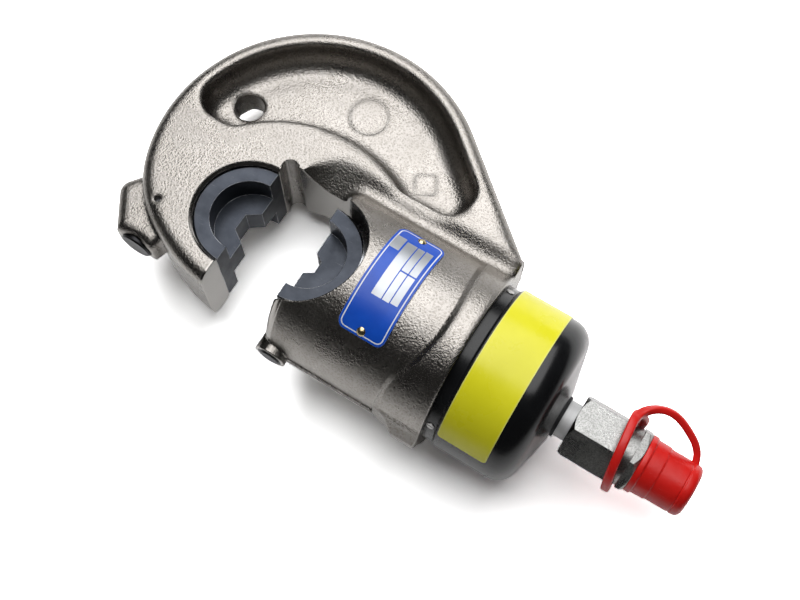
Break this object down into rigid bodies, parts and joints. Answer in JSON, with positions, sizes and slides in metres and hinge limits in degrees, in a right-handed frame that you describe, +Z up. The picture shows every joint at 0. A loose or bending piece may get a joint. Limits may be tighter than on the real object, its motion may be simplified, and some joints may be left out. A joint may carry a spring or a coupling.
{
  "type": "hydraulic crimping head",
  "caption": "C-shaped hydraulic crimping head with half-round dies in the anvil and on a sprung ram, release buttons, screwed base, hexagonal quick coupler and strapped dust cap.",
  "frame": {"origin": "centre of the anvil's half-round die nest, on the split face of the anvil die and in the middle plane of the C", "axes": "+X along the ram from the anvil to the coupler, +Y to the closed back of the C, +Z up through the thickness of the C"},
  "size_m": [0.2431, 0.1289, 0.0716],
  "materials": {
    "nickel_forging": "satin nickel plate over a sand-blasted forging",
    "blued_steel": "blued, satin",
    "ram_steel": "ground",
    "base_black": "gloss black",
    "label_yellow": "gloss film",
    "plate_blue": "printed, satin",
    "rivet_brass": "plain",
    "screw_steel": "bright",
    "nipple_zinc": "pale zinc plate",
    "coupler_zinc": "bright zinc plate",
    "cap_red": "soft moulded, satin",
    "button_black": "black oxide",
    "spring_steel": "oiled",
    "seal_rubber": "matte",
    "band_plastic": "matte"
  },
  "bodies": {
    "frame": {"head_frame": "nickel_forging", "anvil_die": "blued_steel", "anvil_roll_pin": "spring_steel", "nameplate": "plate_blue", "nameplate_rivets": "rivet_brass", "ram_button_bush": "button_black", "base_cap": "base_black", "base_o_ring": "seal_rubber", "base_lock_screws": "screw_steel", "base_label": "label_yellow", "spring_bolt": "screw_steel", "port_nipple": "nipple_zinc", "nipple_seal": "seal_rubber", "coupler_body": "coupler_zinc", "coupler_seal": "seal_rubber", "poppet_seat": "spring_steel", "return_spring": "spring_steel", "anvil_lock_spring": "spring_steel", "ram_lock_spring": "spring_steel", "coupler_spring": "spring_steel"},
    "ram_body": {"ram": "ram_steel", "ram_die": "blued_steel", "guide_band": "band_plastic", "backup_ring": "band_plastic", "piston_seal": "seal_rubber", "spring_stop": "screw_steel", "snap_ring": "spring_steel", "ram_detent_spring": "spring_steel"},
    "ram_detent": {"ram_detent_pin": "spring_steel"},
    "anvil_button": {"anvil_lock_button": "button_black"},
    "anvil_detent": {"anvil_detent_pin": "spring_steel"},
    "ram_button": {"ram_lock_button": "button_black"},
    "poppet": {"coupler_poppet": "spring_steel"},
    "strap": {"strap_ring": "cap_red", "cap_strap": "cap_red"},
    "cap": {"dust_cap": "cap_red"}
  },
  "joints": [
    {"name": "ram_slide", "type": "slide", "parent": "frame", "child": "ram_body", "axis": [-1, 0, 0], "range_m": [0, 0.0262], "stiffness_N_per_m": 3000, "springref_m": -0.02, "deforming": ["return_spring"]},
    {"name": "ram_detent_slide", "type": "slide", "parent": "ram_body", "child": "ram_detent", "axis": [1, 0, 0], "range_m": [0, 0.0012], "stiffness_N_per_m": 1500, "springref_m": -0.002, "deforming": ["ram_detent_spring"]},
    {"name": "anvil_button_press", "type": "slide", "parent": "frame", "child": "anvil_button", "axis": [0, 1, 0], "range_m": [0, 0.003], "stiffness_N_per_m": 1500, "springref_m": -0.004, "deforming": ["anvil_lock_spring"]},
    {"name": "anvil_detent_slide", "type": "slide", "parent": "frame", "child": "anvil_detent", "axis": [-1, 0, 0], "range_m": [0, 0.0012]},
    {"name": "ram_button_press", "type": "slide", "parent": "frame", "child": "ram_button", "axis": [0, 1, 0], "range_m": [0, 0.0021], "stiffness_N_per_m": 1500, "springref_m": -0.003, "deforming": ["ram_lock_spring"]},
    {"name": "poppet_slide", "type": "slide", "parent": "frame", "child": "poppet", "axis": [-1, 0, 0], "range_m": [0, 0.003], "stiffness_N_per_m": 1500, "springref_m": -0.003, "deforming": ["coupler_spring"]},
    {"name": "strap_swivel", "type": "hinge", "parent": "frame", "child": "strap", "pos_m": [0.1631, 0, 0], "axis": [1, 0, 0], "continuous": true},
    {"name": "cap_pull", "type": "slide", "parent": "strap", "child": "cap", "axis": [1, 0, 0], "range_m": [0, 0.012], "deforming": ["cap_strap"]}
  ],
  "couplings": [
    {"joint": "anvil_detent_slide", "follows": "anvil_button_press", "ratio": 0.4}
  ]
}
